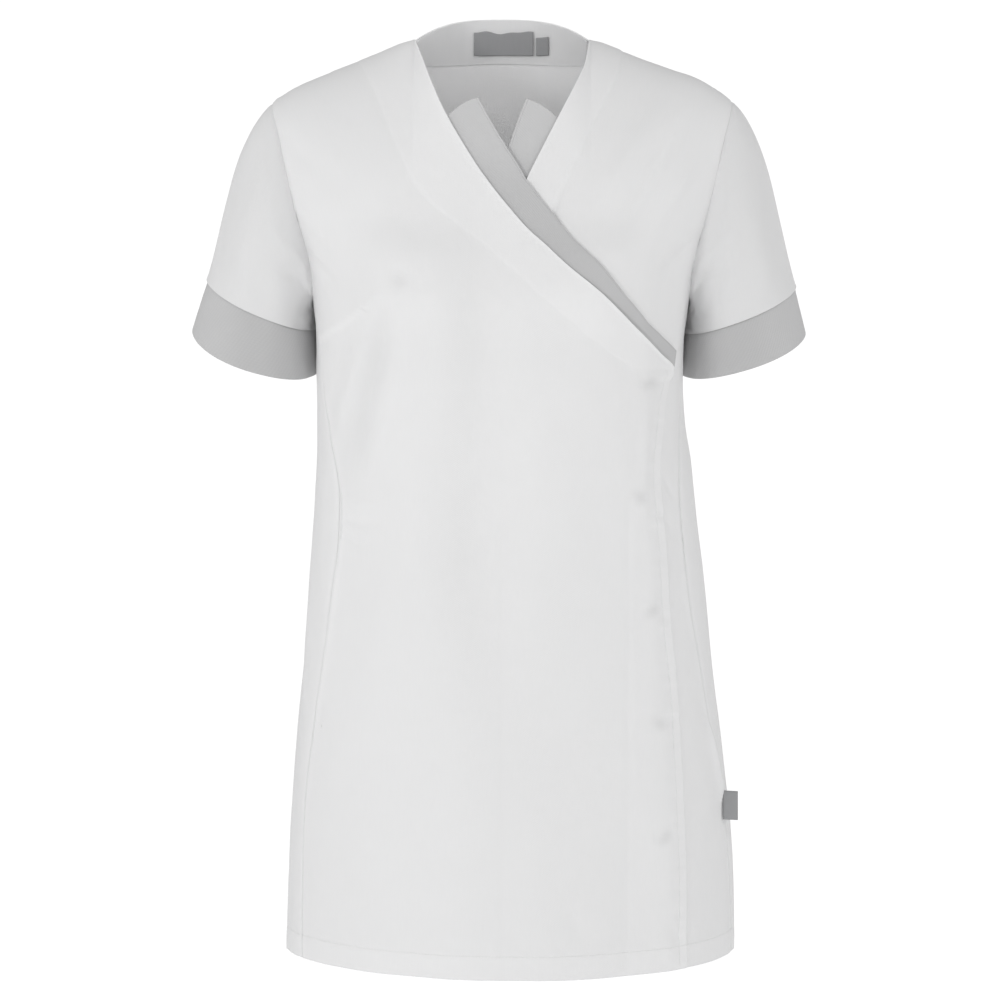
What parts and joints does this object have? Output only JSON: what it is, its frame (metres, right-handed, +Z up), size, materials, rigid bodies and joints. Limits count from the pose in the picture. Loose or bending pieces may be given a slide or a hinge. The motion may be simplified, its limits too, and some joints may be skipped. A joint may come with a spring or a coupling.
{
  "type": "medical tunic",
  "caption": "White short-sleeved wrap-front medical tunic with grey neckline bands and cuffs, hidden snaps and side pockets, standing open as if worn.",
  "frame": {"origin": "midway between the two points where the shoulder seams meet the neckline, where the wearer's shoulders carry the garment", "axes": "+Z up, -Y towards the front of the garment, +X towards the wearer's left"},
  "size_m": [0.5545, 0.2724, 0.8461],
  "materials": {
    "white_cloth": "matte twill",
    "grey_cloth": "matte twill",
    "label": "woven",
    "snap_plastic": "satin"
  },
  "bodies": {
    "root": {"front_right": "white_cloth", "front_left": "white_cloth", "side_right": "white_cloth", "side_left": "white_cloth", "back": "white_cloth", "back_neck_facing": "white_cloth", "pocket_bag_right": "white_cloth", "pocket_bag_left": "white_cloth", "sleeve_right": "white_cloth", "sleeve_left": "white_cloth", "cuff_right": "grey_cloth", "cuff_left": "grey_cloth", "neck_band_right": "grey_cloth", "neck_band_left": "grey_cloth", "neck_label": "label", "size_tab": "label", "side_label": "label", "snap_1": "snap_plastic", "snap_2": "snap_plastic", "snap_3": "snap_plastic", "snap_4": "snap_plastic", "snap_5": "snap_plastic"}
  },
  "joints": []
}
